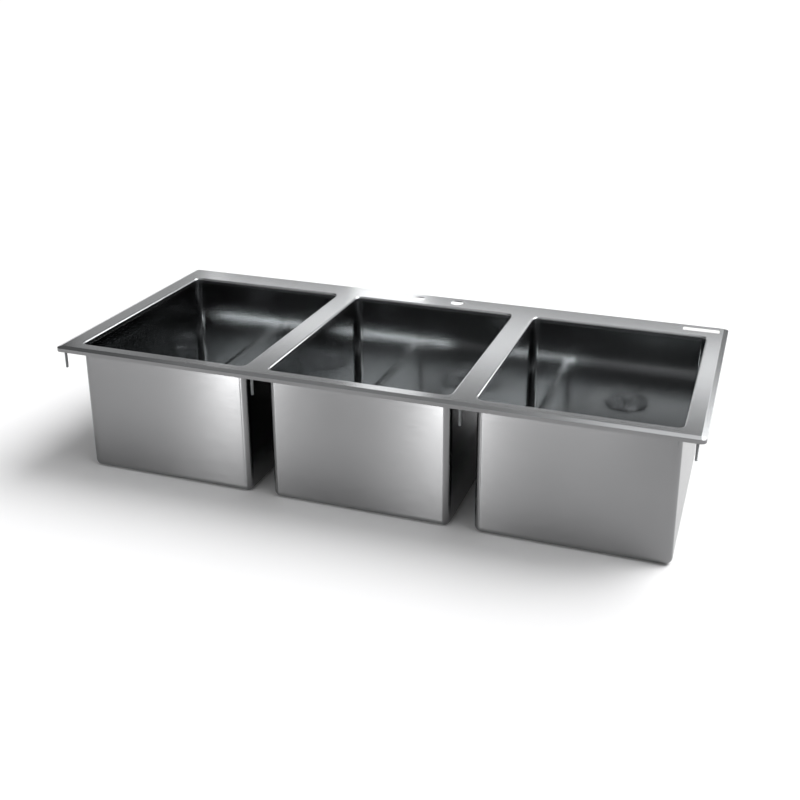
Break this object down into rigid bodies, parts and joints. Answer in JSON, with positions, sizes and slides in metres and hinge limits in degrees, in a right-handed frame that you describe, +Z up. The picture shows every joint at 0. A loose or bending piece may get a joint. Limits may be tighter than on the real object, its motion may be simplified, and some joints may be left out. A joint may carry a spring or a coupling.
{
  "type": "three compartment sink",
  "caption": "Drop-in stainless steel sink: deep coved bowls side by side under one flat deck with rolled openings, faucet holes, drains, lift-out strainers and hold-down studs.",
  "frame": {"origin": "under the centre of the deck's outline, on the surface that the bowls stand on", "axes": "+X along the length, to the right seen from the front; +Y to the back, the faucet side; +Z up"},
  "size_m": [1.422, 0.622, 0.3063],
  "materials": {
    "deck_steel": "satin brushed along the length",
    "bowl_steel": "satin",
    "drain_steel": "polished",
    "stud_steel": "rolled thread",
    "gasket_rubber": "matte",
    "label_film": "printed film, plain"
  },
  "bodies": {
    "sink": {"deck": "deck_steel", "bowl_left": "bowl_steel", "bowl_centre": "bowl_steel", "bowl_right": "bowl_steel", "drain_gasket_left": "gasket_rubber", "drain_gasket_centre": "gasket_rubber", "drain_gasket_right": "gasket_rubber", "drain_flange_left": "drain_steel", "drain_flange_centre": "drain_steel", "drain_flange_right": "drain_steel", "stud_front_left_end": "stud_steel", "stud_front_left_gap": "stud_steel", "stud_front_right_gap": "stud_steel", "stud_front_right_end": "stud_steel", "stud_back_left_end": "stud_steel", "stud_back_left_gap": "stud_steel", "stud_back_right_gap": "stud_steel", "stud_back_right_end": "stud_steel", "blank_label": "label_film"},
    "lift_out_left": {"strainer_left": "drain_steel", "strainer_knob_left": "drain_steel"},
    "lift_out_centre": {"strainer_centre": "drain_steel", "strainer_knob_centre": "drain_steel"},
    "lift_out_right": {"strainer_right": "drain_steel", "strainer_knob_right": "drain_steel"}
  },
  "joints": [
    {"name": "strainer_left_lift", "type": "slide", "parent": "sink", "child": "lift_out_left", "axis": [0, 0, 1], "range_m": [0, 0.36]},
    {"name": "strainer_centre_lift", "type": "slide", "parent": "sink", "child": "lift_out_centre", "axis": [0, 0, 1], "range_m": [0, 0.36]},
    {"name": "strainer_right_lift", "type": "slide", "parent": "sink", "child": "lift_out_right", "axis": [0, 0, 1], "range_m": [0, 0.36]}
  ]
}
